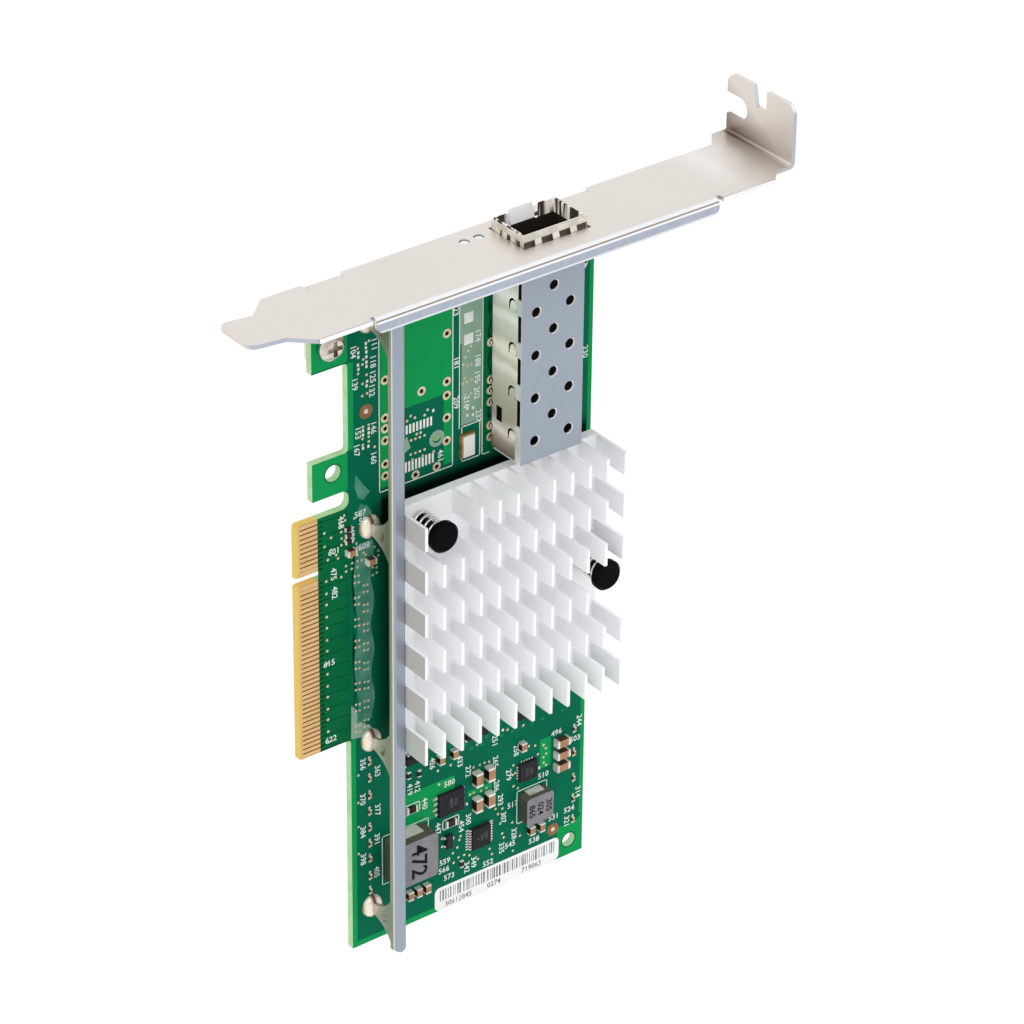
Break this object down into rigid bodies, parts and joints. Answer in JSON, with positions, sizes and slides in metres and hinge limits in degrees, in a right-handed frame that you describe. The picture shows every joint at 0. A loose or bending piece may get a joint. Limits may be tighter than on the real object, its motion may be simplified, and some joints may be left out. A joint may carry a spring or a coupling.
{
  "type": "network interface card",
  "caption": "Computer network card: green board with gold card edge, pluggable transceiver cage, cross-cut aluminium heat sink, stiffening rail and full-height steel bracket.",
  "frame": {"origin": "middle of the key notch, at the card edge's tip, on the board's component face", "axes": "+Z towards the bracket, +X from the card edge to the board's far edge, -Y out of the component face"},
  "size_m": [0.1231, 0.0218, 0.1601],
  "materials": {
    "solder_mask": "green solder mask over laminate, satin",
    "gold_plating": "gold-plated copper",
    "label_stock": "white label film, matt",
    "plated_steel": "nickel-plated steel, satin",
    "screw_steel": "bright plated steel",
    "cage_metal": "nickel-plated copper alloy",
    "solder": "solder, bright",
    "connector_plastic": "black moulded plastic",
    "light_plastic": "translucent moulded lens",
    "sink_aluminium": "bare extruded aluminium",
    "pad_compound": "grey thermal pad",
    "package_plastic": "black chip moulding",
    "pin_plastic": "black nylon",
    "spring_steel": "spring wire",
    "crystal_metal": "nickel lid",
    "ceramic_base": "dark ceramic",
    "ferrite": "pressed iron powder, grey",
    "tin": "tinned metal",
    "ceramic_brown": "brown ceramic",
    "resistor_black": "black glaze"
  },
  "bodies": {
    "root": {"circuit_board": "solder_mask", "edge_contacts_front": "gold_plating", "edge_contacts_back": "gold_plating", "board_label": "label_stock", "mounting_bracket": "plated_steel", "bracket_screws": "screw_steel", "stiffening_rail": "plated_steel", "rail_solder": "solder", "cage_body": "cage_metal", "cage_cover": "cage_metal", "cage_collar": "cage_metal", "host_connector": "connector_plastic", "host_contacts": "gold_plating", "link_lights": "light_plastic", "heat_sink": "sink_aluminium", "thermal_pad": "pad_compound", "controller_package": "package_plastic", "push_pin_left": "pin_plastic", "push_pin_right": "pin_plastic", "push_spring_left": "spring_steel", "push_spring_right": "spring_steel", "crystal_base": "ceramic_base", "crystal_lid": "crystal_metal", "large_coil_core": "ferrite", "large_coil_terminals": "tin", "small_coil_core": "ferrite", "small_coil_terminals": "tin", "power_chip": "package_plastic", "power_chip_leads": "tin", "regulator_chip": "package_plastic", "regulator_pads": "tin", "driver_chip": "package_plastic", "driver_leads": "tin", "transistor_body": "package_plastic", "transistor_leads": "tin", "logic_chips": "package_plastic", "logic_leads": "tin", "large_capacitor_bodies": "ceramic_brown", "large_capacitor_terminals": "tin", "medium_capacitor_bodies": "ceramic_brown", "medium_capacitor_terminals": "tin", "small_capacitor_bodies": "ceramic_brown", "small_capacitor_terminals": "tin", "sense_resistor_bodies": "resistor_black", "sense_resistor_terminals": "tin", "chip_resistor_bodies": "resistor_black", "chip_resistor_terminals": "tin", "back_capacitor_bodies": "ceramic_brown", "back_capacitor_terminals": "tin"}
  },
  "joints": []
}
